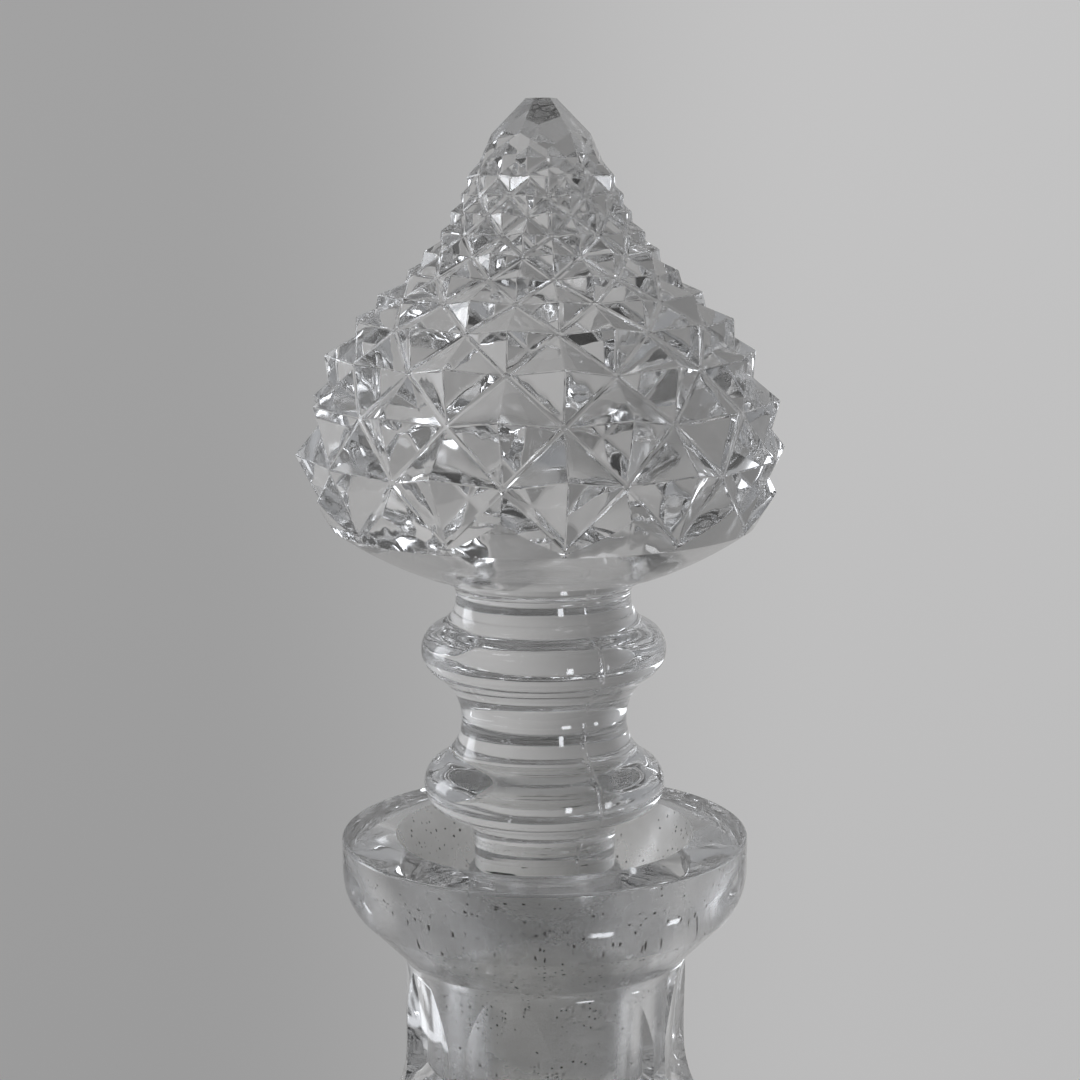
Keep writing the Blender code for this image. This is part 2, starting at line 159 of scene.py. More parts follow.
# Stem of the stopper, heights above the lip
BOWL_RIM = (30.5 * MM, 46 * MM)
BOWL_BAND_SLOPE = 0.61
BOWL_FOOT = (14.5 * MM, 38 * MM)
BOWL_SAG = 0.7 * MM
STEM_ROOT = 4 * MM
UNDER_BOWL_CURVE = 2.2 * MM
UNDER_BOWL_STEP = 0.4 * MM
UNDER_BOWL_START = math.radians(130)
STEM_RADIUS = 12.75 * MM
STEM_HOLLOW = 4.5 * MM
KNOP_CURVE = 4 * MM
UPPER_KNOP = (13.9 * MM, 27.6 * MM)
UPPER_WAIST_HOLLOW = 8 * MM
WAIST_RADIUS = 12.1 * MM
LOWER_WAIST_HOLLOW = 7 * MM
LOWER_KNOP = (13.7 * MM, 7.6 * MM)
PLUG_HOLLOW = 5.1 * MM
PLUG_CHAMFER = 1 * MM

# Mould seams on the stem: thin raised lines that wander and fade
SEAM_ANGLES = (math.radians(37), math.radians(217))
SEAM_HEIGHT = 0.3 * MM
SEAM_WIDTH = 0.3 * MM
SEAM_STEP = math.radians(0.5)
SEAM_REACH = 5
SEAM_WANDER = 0.12 * MM
LONG_WAVE = 1.7 * MM
SHORT_WAVE = 0.9 * MM
SHORT_WAVE_SHARE = 0.6
SHORT_WAVE_PHASE = 1
SEAM_FADE = 0.3
FADE_WAVE = 2.3 * MM
FADE_PHASE = 2

# Mesh fineness
ARC_STEP = math.radians(6)
TURN_STEPS = 144
SAG_STEPS = 10
PLUG_SHOULDER_STEPS = 4
BODY_STEPS = 14
FLUTE_STEPS = 40
BELLY_STEPS = 100
SPIRE_STEPS = 150
CUTTER_RADIUS = 1.5 * BODY_RADIUS
SHARP_ANGLE = math.radians(9)
HAIR = 0.002 * MM

# Slots of the glass finishes, in the order of glass_finishes()
CLEAR, GROUND, PRESSED, GROOVE, BOWL, FUNNEL = range(6)

# Glass; a span is the part of a noise over which wear or dirt comes in
GLASS_INDEX = 1.52
WEAR_SCALE = 110
WEAR_SPAN = (0.35, 0.7)
WEAR_TINT = 0.06
WAVE_DETAIL = 0.7
WAVE_STRETCH = (1, 1, 0.6)
PATCH_DETAIL = 4
GRINDING_SHARE = 0.6
MATT_CLEARNESS = 0.97

# Dirt: specks, their ragged outline and soft edge, and where fine ones gather
DIRT_COLOUR = (0.09, 0.08, 0.07, 1)
RAGGED_SCALE = 1.5
RAGGED_REACH = 0.5
SPECK_CORE = 0.6
DIRT_SPAN = (0.42, 0.58)

# Floor: it fades out between two distances from the object
FLOOR_RADIUS = 3.0
FLOOR_SIDES = 96
FLOOR_FADE = (0.2, 0.42)
FLOOR_GREY = 0.6
FLOOR_GREY_SEEN = 0.85
FLOOR_LIGHT = 0.5

# Light: a ramp is the span of a direction's part, then the levels at the span's ends
BACKDROP_ACROSS = (-0.17, 0.14, 0.355, 0.54)
BACKDROP_UP = (-0.45, 0.15, 0.92, 1.02)
WALLS_ACROSS = (-0.45, 0.4, 0.23, 0.5)
ROOM_DEPTH = (-0.1, 0.7, 0.18, 1.0)
CEILING_UP = (0.3, 0.9, 0.0, 0.18)
DAYLIGHT_SIDEWAYS = (0.45, 0.9, 0.0, 0.27)
COOL = (0.97, 1.0, 1.05)
WARM = (1.004, 1.0, 0.994)

# Windows: azimuth and elevation in degrees, width, height and brightness
WINDOWS = (
    (-115, 12, 0.35, 0.6, 4.0),
    (-128, -26, 0.06, 0.12, 3.0),
    (23, -4, 0.12, 0.4, 14.0),
    (33, -31, 0.22, 0.13, 12.0),
    (62, -4, 0.08, 0.4, 9.0),
    (80, -27, 0.12, 0.1, 10.0),
    (88, 63, 0.2, 0.2, 6.0),
)
WINDOW_EDGE = 0.6
WINDOW_CORE = 0.3

# Camera: its aim is above the lip, its lens and sensor are in millimetres
CAMERA_HEIGHT = 43.5 * MM
CAMERA_DISTANCE = 311.75 * MM
CAMERA_PITCH = math.radians(9.4)
CAMERA_ROLL = math.radians(-0.28)
CAMERA_LENS = 71.67
CAMERA_SHIFT = -0.003
SENSOR_WIDTH = 36
NEAREST = 10 * MM

# Light paths: how many faces light may meet, and the brightest that a bounce may be
GLASS_BOUNCES = 40
OTHER_BOUNCES = 24
BRIGHTEST_BOUNCE = 3


# ---- Outline helpers ----

def arc(centre, radius, start, end, steps=None):
    """Points on a circle; angles in radians, 0 points away from the axis."""
    steps = steps or max(2, math.ceil(abs(end - start) / ARC_STEP))
    points = []
    for step in range(steps + 1):
        angle = start + (end - start) * step / steps
        points.append((centre[0] + radius * math.cos(angle), centre[1] + radius * math.sin(angle)))
    return points


def sagged_line(start, end, sag, steps=SAG_STEPS):
    """A straight run from start to end that bows by sag at its middle."""
    length = math.dist(start, end)
    normal = ((start[1] - end[1]) / length, (end[0] - start[0]) / length)
    points = []
    for step in range(steps + 1):
        part = step / steps
        bow = 4 * sag * part * (1 - part)
        points.append((
            start[0] + (end[0] - start[0]) * part + normal[0] * bow,
            start[1] + (end[1] - start[1]) * part + normal[1] * bow,
        ))
    return points


def fillet_beside_bead(bead, waist_radius, curve, side):
    """Centre of a hollow that runs from a waist into a knop, and its angle there."""
    reach = curve + KNOP_CURVE
    offset = waist_radius + curve - bead[0]
    centre = (bead[0] + offset, bead[1] + side * math.sqrt(reach ** 2 - offset ** 2))
    towards = math.atan2(bead[1] - centre[1], bead[0] - centre[0])
    return centre, towards % (2 * math.pi)


def body_radius(height):
    """Outer radius of the body between its widest place and the foot."""
    widest = shoulder_centre()[1]
    part = (widest - height) / (widest - FOOT_WAIST)
    return BODY_RADIUS - (BODY_RADIUS - FOOT_WAIST_RADIUS) * part ** 2


def flare_centre():
    return (NECK_RADIUS + FLARE_CURVE, LIP - NECK_FOOT)


def flare_end():
    centre = flare_centre()
    return (
        centre[0] - FLARE_CURVE * math.cos(FLARE_SLOPE),
        centre[1] - FLARE_CURVE * math.sin(FLARE_SLOPE),
    )


def shoulder_radius():
    return (BODY_RADIUS - flare_end()[0]) / (1 - math.cos(FLARE_SLOPE))


def shoulder_centre():
    end = flare_end()
    radius = shoulder_radius()
    return (end[0] - radius * math.cos(FLARE_SLOPE), end[1] - radius * math.sin(FLARE_SLOPE))


def body_side(top, bottom, inset=0.0):
    """Points down the body below one height to another, set in from its face."""
    points = []
    for step in range(1, BODY_STEPS + 1):
        height = top + (bottom - top) * step / BODY_STEPS
        points.append((body_radius(height) - inset, height))
    return points


def band_heights():
    """Heights of the groove crossings, as far apart as half a diamond is wide."""
    heights = [BAND_TOP]
    for _ in range(BAND_ROWS - 1):
        heights.append(heights[-1] - math.pi * body_radius(heights[-1]) / BAND_COUNT)
    return heights[::-1]


def plug_radius(depth):
    """Radius of the ground plug at a depth below the lip."""
    return PLUG_RADIUS - PLUG_TAPER * (depth - PLUG_TOP)


# ---- Outlines ----

def lip_outline():
    """From the flat top of the lip, out and down to the neck."""
    slope_start = (LIP_RADIUS - LIP_CURVE, LIP - LIP_BAND)
    hollow_centre = (NECK_RADIUS + NECK_CURVE, LIP - NECK_TOP)
    edge = arc((LIP_RADIUS - LIP_EDGE, LIP - LIP_EDGE), LIP_EDGE, math.pi / 2, 0)
    rounding = arc(slope_start, LIP_CURVE, 0, -LIP_SLOPE)
    hollow = arc(hollow_centre, NECK_CURVE, math.pi - LIP_SLOPE, math.pi)
    return edge + rounding + hollow


def body_outline():
    """From the foot of the neck over the shoulder and down to the foot."""
    flare = arc(flare_centre(), FLARE_CURVE, math.pi, math.pi + FLARE_SLOPE)
    shoulder = arc(shoulder_centre(), shoulder_radius(), FLARE_SLOPE, 0)[1:]
    bottom, top = band_heights()[0], BAND_TOP
    band = [
        (body_radius(top) - BAND_RECESS, top),
        (body_radius(bottom) - BAND_RECESS, bottom),
        (body_radius(bottom), bottom - BAND_RECESS),
    ]
    return flare + shoulder + band + body_side(bottom, FOOT_WAIST)


def foot_outline():
    """The spread foot, its standing ring and the shallow hollow inside it."""
    spread = (FOOT_RADIUS, FOOT_SPREAD)
    edge = arc((FOOT_RADIUS - FOOT_EDGE, FOOT_EDGE), FOOT_EDGE, 0, -math.pi / 2)
    ring = FOOT_RADIUS - FOOT_EDGE - FOOT_RING_WIDTH
    hollow = [(ring, 0), (ring - FOOT_HOLLOW_SLOPE, FOOT_HOLLOW), (0, FOOT_HOLLOW)]
    return [spread] + edge + hollow


def cavity_outline():
    """The mouth, the funnel, the ground bore and the space for the wine."""
    bore_top = plug_radius(FUNNEL_DEPTH) + RUNNING_GAP
    bore_foot = plug_radius(BORE_FOOT) + RUNNING_GAP
    mouth = [(0, LIP + WALL), (MOUTH_RADIUS, LIP + WALL)]
    funnel = sagged_line((MOUTH_RADIUS, LIP), (bore_top, LIP - FUNNEL_DEPTH), FUNNEL_SAG)
    bore = [(bore_foot, LIP - BORE_FOOT)]
    centre = shoulder_centre()
    shoulder = arc(centre, shoulder_radius() - WALL, FLARE_SLOPE, 0)
    low = BASE_THICKNESS + FLOOR_CURVE
    side = body_side(centre[1], low, WALL)
    corner = arc((side[-1][0] - FLOOR_CURVE, low), FLOOR_CURVE, 0, -math.pi / 2)
    return mouth + funnel + bore + shoulder + side + corner[1:] + [(0, BASE_THICKNESS)]


def stem_outline():
    """From inside the finial down the stem and its two knops to the plug's end."""
    stem_hollow, towards = fillet_beside_bead(UPPER_KNOP, STEM_RADIUS, STEM_HOLLOW, 1)
    waist_top, leave = fillet_beside_bead(UPPER_KNOP, WAIST_RADIUS, UPPER_WAIST_HOLLOW, -1)
    waist_foot, enter = fillet_beside_bead(LOWER_KNOP, WAIST_RADIUS, LOWER_WAIST_HOLLOW, 1)
    plug_hollow, depart = fillet_beside_bead(LOWER_KNOP, PLUG_NECK_RADIUS, PLUG_HOLLOW, -1)
    under_bowl = (STEM_RADIUS + UNDER_BOWL_CURVE, stem_hollow[1] + UNDER_BOWL_STEP)
    inside = FINIAL_BASE + STEM_ROOT
    end_radius = plug_radius(PLUG_END)
    neck_foot = (PLUG_NECK_RADIUS, -PLUG_NECK_FOOT)
    plug_top = (PLUG_RADIUS, -PLUG_TOP)

    outline = [(0, inside), (BOWL_FOOT[0], inside), BOWL_FOOT]
    outline += arc(under_bowl, UNDER_BOWL_CURVE, UNDER_BOWL_START, math.pi)
    outline += arc(stem_hollow, STEM_HOLLOW, math.pi, towards)
    outline += arc(UPPER_KNOP, KNOP_CURVE, towards - math.pi, leave - math.pi)[1:]
    outline += arc(waist_top, UPPER_WAIST_HOLLOW, leave, math.pi)[1:]
    outline += arc(waist_foot, LOWER_WAIST_HOLLOW, math.pi, enter)
    outline += arc(LOWER_KNOP, KNOP_CURVE, enter - math.pi, depart - math.pi)[1:]
    outline += arc(plug_hollow, PLUG_HOLLOW, depart, math.pi)[1:]
    outline += sagged_line(neck_foot, plug_top, PLUG_SHOULDER_SAG, PLUG_SHOULDER_STEPS)
    outline += [(end_radius, PLUG_CHAMFER - PLUG_END), (end_radius - PLUG_CHAMFER, -PLUG_END)]
    return outline + [(0, -PLUG_END)]


def bowl_outline():
    """The turned solid that the finial's underside is cut to."""
    top = CAP_TOP + WALL
    edge = (BOWL_RIM[0] + BOWL_BAND_SLOPE * (BELLY_TOP - BOWL_RIM[1]), BELLY_TOP)
    underside = sagged_line(BOWL_RIM, BOWL_FOOT, BOWL_SAG)
    return [(0, top), (edge[0], top), edge] + underside + [(0, BOWL_FOOT[1])]


def radius_at(outline, height):
    """Radius of a downward-running outline at a height."""
    for above, below in zip(outline, outline[1:]):
        if above[1] >= height >= below[1] and above[1] > below[1]:
            part = (above[1] - height) / (above[1] - below[1])
            return above[0] + (below[0] - above[0]) * part
    raise ValueError("height is outside the outline")


def flute_envelope(outline, count, top, foot, cut_depth):
    """Arris radius of flat flutes that cut into an outline between two heights."""
    points = [(0, LIP + WALL), (CUTTER_RADIUS, LIP + WALL), (CUTTER_RADIUS, top + WALL)]
    for step in range(FLUTE_STEPS + 1):
        height = top + (foot - top) * step / FLUTE_STEPS
        apothem = radius_at(outline, height) - cut_depth(height)
        points.append((apothem / math.cos(math.pi / count), height))
    return points + [(CUTTER_RADIUS, foot - WALL), (CUTTER_RADIUS, -WALL), (0, -WALL)]


def neck_flute_depth(height):
    rise = min(1, (LIP - NECK_FLUTE_TOP - height) / NECK_FLUTE_RISE) ** NECK_FLUTE_BOW
    run_out = min(1, (height - LIP + NECK_FLUTE_FOOT) / NECK_FLUTE_RUN_OUT)
    return NECK_FLUTE_CUT * rise * run_out


def base_flute_depth(height):
    return BASE_FLUTE_CUT * min(1, (BASE_FLUTE_TOP - height) / BASE_FLUTE_RISE)


# ---- Finial rows ----

def finial_curve():
    """Closely spaced points on the surface that the groove crossings lie on."""
    start = math.asin((FINIAL_BASE - BELLY_CENTRE[1]) / BELLY_RADIUS)
    end = math.asin((BELLY_TOP - BELLY_CENTRE[1]) / BELLY_RADIUS)
    belly = arc(BELLY_CENTRE, BELLY_RADIUS, start, end, BELLY_STEPS)
    first = belly[-1]
    third = (
        SPIRE_TOP[0] + SPIRE_PULL * math.sin(SPIRE_SLOPE),
        SPIRE_TOP[1] - SPIRE_PULL * math.cos(SPIRE_SLOPE),
    )
    spire = []
    for step in range(1, SPIRE_STEPS + 1):
        part = step / SPIRE_STEPS
        rest = 1 - part
        spire.append(tuple(
            rest ** 3 * first[axis] + 3 * rest ** 2 * part * first[axis]
            + 3 * rest * part ** 2 * third[axis] + part ** 3 * SPIRE_TOP[axis]
            for axis in (0, 1)
        ))
    return belly + spire


def finial_rows():
    """Groove crossings: each step up the surface is half a diamond's width.

    The first row is an apron below the finial, for the bowl to cut away.
    """
    curve = finial_curve()
    rows = [(curve[0][0] - APRON[0], curve[0][1] - APRON[1]), curve[0]]
    travelled = 0.0
    for before, after in zip(curve, curve[1:]):
        travelled += math.dist(before, after)
        if travelled >= ROW_STEP * math.pi * after[0] / FINIAL_COUNT:
            rows.append(after)
            travelled = 0.0
        if len(rows) == FINIAL_ROWS + 1:
            break
    return rows


# ---- Mesh building ----

def new_object(name, mesh):
    item = bpy.data.objects.new(name, mesh)
    bpy.context.scene.collection.objects.link(item)
    return item


def ring(shape, count, radius, height, offset):
    """A ring of corners; angle 0 faces -Y and offset is in pitches."""
    corners = []
    for index in range(count):
        angle = 2 * math.pi * (index + offset) / count
        corners.append(shape.verts.new((radius * math.sin(angle), -radius * math.cos(angle), height)))
    return corners


def stagger(row):
    """Every other row starts half a pitch further on."""
    return 0.5 * (row % 2)


def diamond_skin(shape, rows, count, relief):
    """Staggered rows of four-sided pyramids; returns the first and last rings."""
    rings = []
    for row, (radius, height) in enumerate(rows):
        rings.append(ring(shape, count, radius, height, stagger(row)))
    half_pitch = math.pi / count
    for row, (radius, height) in enumerate(rows):
        half_width = radius * math.sin(half_pitch)
        for index in range(count):
            left = rings[row][index]
            right = rings[row][(index + 1) % count]
            column = (index + row % 2) % count
            below = rings[row - 1][column] if row > 0 else None
            above = rings[row + 1][column] if row < len(rows) - 1 else None
            if below is None:
                shape.faces.new((left, right, above))
                continue
            if above is None:
                shape.faces.new((right, left, below))
                continue
            angle = 2 * math.pi * (index + 0.5 + stagger(row)) / count
            tip_radius = radius * math.cos(half_pitch) + relief * half_width
            tip = shape.verts.new((
                tip_radius * math.sin(angle),
                -tip_radius * math.cos(angle),
                height + TIP_LIFT * half_width,
            ))
            corners = (left, below, right, above)
            for side in range(4):
                shape.faces.new((corners[side], corners[(side + 1) % 4], tip))
    return rings[0], rings[-1]


def cut_edges(shape, held, convex):
    """Edges of the pressed pattern: its ridges if convex, or its grooves."""
    found = []
    for edge in shape.edges:
        if held & set(edge.verts) or len(edge.link_faces) != 2:
            continue
        if edge.is_convex == convex and edge.calc_face_angle() > CUT_ANGLE:
            found.append(edge)
    return found


def round_off(shape, edges, width, segments):
    """Bevel edges to rounded strips; returns the strips' faces."""
    strips = bmesh.ops.bevel(
        shape, geom=edges, offset=width, segments=segments, profile=ROUND_PROFILE,
        affect="EDGES", clamp_overlap=True)
    return strips["faces"]


def soften_pressing(shape, held, seed):
    """Let corners stray a little, widen the grooves and round the ridges.

    Held corners join the pattern to its solid and keep their places.
    """
    chance = random.Random(seed)
    for corner in shape.verts:
        if corner not in held:
            for axis in range(3):
                corner.co[axis] += chance.uniform(-STRAY, STRAY)
    bmesh.ops.recalc_face_normals(shape, faces=shape.faces)
    grooves = round_off(shape, cut_edges(shape, held, convex=False), GROOVE_WIDTH, GROOVE_SEGMENTS)
    for face in grooves:
        face.material_index = GROOVE
    round_off(shape, cut_edges(shape, held, convex=True), RIDGE_WIDTH, RIDGE_SEGMENTS)


def bridge(shape, lower, upper):
    """A band of quads between two rings with the same number of corners."""
    count = len(lower)
    for index in range(count):
        following = (index + 1) % count
        shape.faces.new((lower[index], lower[following], upper[following], upper[index]))


def finish_mesh(shape, name):
    bmesh.ops.recalc_face_normals(shape, faces=shape.faces)
    mesh = bpy.data.meshes.new(name)
    shape.to_mesh(mesh)
    shape.free()
    return mesh


def crown_radius():
    """Where the slope of the last diamonds arrives above the cap."""
    below, last = finial_rows()[-2:]
    flat = math.cos(math.pi / FINIAL_COUNT)
    slope = (below[0] - last[0] * flat) / (last[1] - below[1])
    return last[0] - slope / flat * (CAP_TOP + WALL - last[1])


def finial_mesh():
    """The diamond finial before its underside and cap are cut."""
    shape = bmesh.new()
    bottom, top = diamond_skin(shape, finial_rows(), FINIAL_COUNT, FINIAL_RELIEF)
    shape.faces.new(bottom[::-1])
    crown = ring(shape, FINIAL_COUNT, crown_radius(), CAP_TOP + WALL, stagger(FINIAL_ROWS))
    bridge(shape, top, crown)
    shape.faces.new(crown)
    soften_pressing(shape, set(bottom + top + crown), FINIAL_SEED)
    return finish_mesh(shape, "finial")


def band_mesh():
    """The ring of diamonds that is joined to the body."""
    shape = bmesh.new()
    rows = [(body_radius(height), height) for height in band_heights()]
    bottom, top = diamond_skin(shape, rows, BAND_COUNT, BAND_RELIEF)
    inner = body_radius(rows[0][1]) - WALL / 2
    inner_bottom = ring(shape, BAND_COUNT, inner, rows[0][1], 0)
    inner_top = ring(shape, BAND_COUNT, inner, rows[-1][1], stagger(BAND_ROWS - 1))
    bridge(shape, inner_bottom, bottom)
    bridge(shape, top, inner_top)
    for index in range(BAND_COUNT):
        following = (index + 1) % BAND_COUNT
        shape.faces.new((inner_top[index], inner_top[following], inner_bottom[following]))
        shape.faces.new((inner_top[index], inner_bottom[following], inner_bottom[index]))
    soften_pressing(shape, set(bottom + top + inner_bottom + inner_top), BAND_SEED)
    return finish_mesh(shape, "diamond_band")


def even_angles(count, offset=0):
    """Angles round the axis; offset is in pitches."""
    return [2 * math.pi * (step + offset) / count for step in range(count)]


def seamed_angles(count):
    """Even angles with a close fan of extra ones at each mould seam."""
    angles = even_angles(count)
    for seam in SEAM_ANGLES:
        fan = [seam + SEAM_STEP * step for step in range(-SEAM_REACH, SEAM_REACH + 1)]
        reach = SEAM_STEP * (SEAM_REACH + 1)
        angles = [angle for angle in angles if abs(angle - seam) > reach] + fan
    return sorted(angles)


def seam_lift(angle, radius, height):
    """How far the glass stands proud at a wavy mould seam."""
    long_wave = math.sin(height / LONG_WAVE)
    short_wave = SHORT_WAVE_SHARE * math.sin(height / SHORT_WAVE + SHORT_WAVE_PHASE)
    wander = SEAM_WANDER * (long_wave + short_wave)
    strength = 1 - SEAM_FADE + SEAM_FADE * math.sin(height / FADE_WAVE + FADE_PHASE)
    lift = 0.0
    for seam in SEAM_ANGLES:
        across = (angle - seam) * radius - wander
        lift += SEAM_HEIGHT * strength * math.exp(-(across / SEAM_WIDTH) ** 2)
    return lift


def turned_mesh(name, outline, angles, lift=None):
    """A closed solid of revolution; the outline starts and ends on the axis."""
    shape = bmesh.new()
    first = shape.verts.new((0, 0, outline[0][1]))
    last = shape.verts.new((0, 0, outline[-1][1]))
    rings = []
    for radius, height in outline[1:-1]:
        corners = []
        for angle in angles:
            reach = radius + (lift(angle, radius, height) if lift else 0)
            corners.append(shape.verts.new((reach * math.sin(angle), -reach * math.cos(angle), height)))
        rings.append(corners)
    count = len(angles)
    for index in range(count):
        following = (index + 1) % count
        shape.faces.new((first, rings[0][index], rings[0][following]))
        shape.faces.new((last, rings[-1][following], rings[-1][index]))
    for upper, lower in zip(rings, rings[1:]):
        bridge(shape, lower, upper)
    return finish_mesh(shape, name)


def hexagonal_point():
    """The six-sided pyramid that cuts the cap's panels."""
    wide_radius = CAP_TOP_RADIUS + CAP_CUTTER_HEIGHT * math.tan(CAP_SLOPE)
    shape = bmesh.new()
    flat = ring(shape, CAP_SIDES, CAP_TOP_RADIUS, CAP_TOP, CAP_OFFSET)
    wide = ring(shape, CAP_SIDES, wide_radius, CAP_TOP - CAP_CUTTER_HEIGHT, CAP_OFFSET)
    low = ring(shape, CAP_SIDES, wide_radius, 0, CAP_OFFSET)
    bridge(shape, wide, flat)
    bridge(shape, low, wide)
    shape.faces.new(flat)
    shape.faces.new(low[::-1])
    return finish_mesh(shape, "cap_cutter")


def weld(mesh):
    """Close the hair cracks that cutting leaves between nearly equal corners."""
    shape = bmesh.new()
    shape.from_mesh(mesh)
    bmesh.ops.remove_doubles(shape, verts=shape.verts, dist=HAIR)
    bmesh.ops.dissolve_degenerate(shape, edges=shape.edges, dist=HAIR)
    shape.to_mesh(mesh)
    shape.free()


def combine(base, tools, materials):
    """Cut or join meshes in turn; returns the plain result as a new mesh."""
    for mesh in [base] + [tool for _, tool in tools]:
        for material in materials:
            mesh.materials.append(material)
    body = new_object(base.name, base)
    helpers = []
    for operation, mesh in tools:
        helper = new_object(mesh.name, mesh)
        helpers.append(helper)
        boolean = body.modifiers.new(mesh.name, "BOOLEAN")
        boolean.operation = operation
        boolean.object = helper
        boolean.solver = "EXACT"
    bpy.context.view_layer.update()
    evaluated = body.evaluated_get(bpy.context.evaluated_depsgraph_get())
    result = bpy.data.meshes.new_from_object(evaluated)
    for item in [body] + helpers:
        bpy.data.objects.remove(item)
    weld(result)
    return result


def shade(mesh):
    """Smooth where it is turned, sharp where it is cut."""
    mesh.shade_smooth()
    mesh.set_sharp_from_angle(angle=SHARP_ANGLE)


# ---- Materials ----

class Nodes:
    """A small helper that adds and joins shader nodes."""

    def __init__(self, tree):
        self.tree = tree
        tree.nodes.clear()

    def add(self, kind, **values):
        node = self.tree.nodes.new(kind)
        for name, value in values.items():
            setattr(node, name, value)
        return node

    def set(self, node, name, value):
        """Give an input a number, or join it to another node's socket."""
        socket = node.inputs[name]
        if isinstance(value, bpy.types.NodeSocket):
            self.tree.links.new(value, socket)
        else:
            socket.default_value = value

    def place(self):
        """The point that is shaded, in the object's own coordinates."""
        return self.add("ShaderNodeTexCoord").outputs["Object"]

    def math(self, operation, first, second=0.0):
        node = self.add("ShaderNodeMath", operation=operation)
        self.set(node, 0, first)
        self.set(node, 1, second)
        return node.outputs[0]

    def add_up(self, first, second):
        return self.math("ADD", first, second)

    def multiply(self, first, second):
        return self.math("MULTIPLY", first, second)

    def ramp(self, value, low, high, start=0.0, end=1.0):
        """A smooth step of a value from start at low to end at high."""
        node = self.add("ShaderNodeMapRange", interpolation_type="SMOOTHSTEP", clamp=True)
        self.set(node, "Value", value)
        self.set(node, "From Min", low)
        self.set(node, "From Max", high)
        self.set(node, "To Min", start)
        self.set(node, "To Max", end)
        return node.outputs[0]

    def mix(self, share, first, second):
        """Mix two colours, which a Mix node has at inputs 6 and 7 and output 2."""
        node = self.add("ShaderNodeMix", data_type="RGBA")
        self.set(node, 0, share)
        self.set(node, 6, first)
        self.set(node, 7, second)
        return node.outputs[2]

    def vector_sum(self, first, second):
        node = self.add("ShaderNodeVectorMath", operation="ADD")
        self.set(node, 0, first)
        self.set(node, 1, second)
        return node.outputs["Vector"]

    def vector_scale(self, vector, factor):
        node = self.add("ShaderNodeVectorMath", operation="SCALE")
        self.set(node, 0, vector)
        self.set(node, "Scale", factor)
        return node.outputs["Vector"]

    def dot(self, first, second):
        node = self.add("ShaderNodeVectorMath", operation="DOT_PRODUCT")
        self.set(node, 0, first)
        self.set(node, 1, second)
        return node.outputs["Value"]

    def noise(self, place, scale, detail=3.0, stretch=(1, 1, 1)):
        mapping = self.add("ShaderNodeMapping")
        self.set(mapping, "Vector", place)
        self.set(mapping, "Scale", stretch)
        node = self.add("ShaderNodeTexNoise")
        self.set(node, "Vector", mapping.outputs[0])
        self.set(node, "Scale", scale)
        self.set(node, "Detail", detail)
        return node.outputs[0]

    def bump(self, height, strength, distance):
        """A normal from a height."""
        node = self.add("ShaderNodeBump")
        self.set(node, "Height", height)
        self.set(node, "Strength", strength)
        self.set(node, "Distance", distance)
        return node.outputs[0]

    def output(self, kind, surface):
        self.set(self.add(kind), "Surface", surface)


def new_material(name):
    material = bpy.data.materials.new(name)
    material.use_nodes = True
    return material, Nodes(material.node_tree)


def grey(level):
    return (level, level, level, 1)


def specks(nodes, place, scale, size, share):
    """Small scattered spots with ragged outlines: 1 in a speck and 0 elsewhere."""
    wobble = nodes.add("ShaderNodeTexNoise")
    nodes.set(wobble, "Vector", place)
    nodes.set(wobble, "Scale", scale * RAGGED_SCALE)
    shift = nodes.vector_scale(wobble.outputs["Color"], RAGGED_REACH / scale)
    cells = nodes.add("ShaderNodeTexVoronoi")
    nodes.set(cells, "Vector", nodes.vector_sum(place, shift))
    nodes.set(cells, "Scale", scale)
    near = nodes.ramp(cells.outputs["Distance"], size, size * SPECK_CORE)
    parts = nodes.add("ShaderNodeSeparateColor")
    nodes.set(parts, 0, cells.outputs["Color"])
    chosen = nodes.math("LESS_THAN", parts.outputs[0], share)
    return nodes.multiply(near, chosen)


def dirt(nodes, place, coarse_share):
    """Coarse specks everywhere, and fine ones that gather in patches."""
    coarse = specks(nodes, place, scale=850, size=0.22, share=coarse_share)
    fine = specks(nodes, place, scale=1500, size=0.32, share=0.3)
    patch = nodes.ramp(nodes.noise(place, scale=150, detail=2), *DIRT_SPAN)
    return nodes.math("MAXIMUM", coarse, nodes.multiply(fine, patch))


def glass_shader(nodes, colour, roughness, normal, clearness=1.0):
    shader = nodes.add("ShaderNodeBsdfPrincipled")
    nodes.set(shader, "Base Color", colour)
    nodes.set(shader, "Roughness", roughness)
    nodes.set(shader, "IOR", GLASS_INDEX)
    nodes.set(shader, "Transmission Weight", clearness)
    nodes.set(shader, "Normal", normal)
    nodes.output("ShaderNodeOutputMaterial", shader.outputs[0])


def polished_glass(name, tint, wave_scale, wave_height, roughness):
    """Glass with flowing waves; where it is worn it is rougher and greyer."""
    material, nodes = new_material(name)
    place = nodes.place()
    waves = nodes.noise(place, wave_scale, WAVE_DETAIL, WAVE_STRETCH)
    normal = nodes.bump(waves, strength=1.0, distance=wave_height)
    wear = nodes.noise(place, WEAR_SCALE)
    colour = nodes.mix(nodes.ramp(wear, *WEAR_SPAN), grey(tint), grey(tint - WEAR_TINT))
    glass_shader(nodes, colour, nodes.ramp(wear, *WEAR_SPAN, *roughness), normal)
    return material


def clear_glass():
    """The stem and the bottle: fire-polished, with long shallow waves."""
    return polished_glass(
        "clear_glass", tint=0.89, wave_scale=200, wave_height=0.1 * MM, roughness=(0.0, 0.015))


def pressed_glass():
    """The diamonds: livelier waves and a little wear on every facet."""
    return polished_glass(
        "pressed_glass", tint=0.86, wave_scale=280, wave_height=0.13 * MM, roughness=(0.015, 0.05))


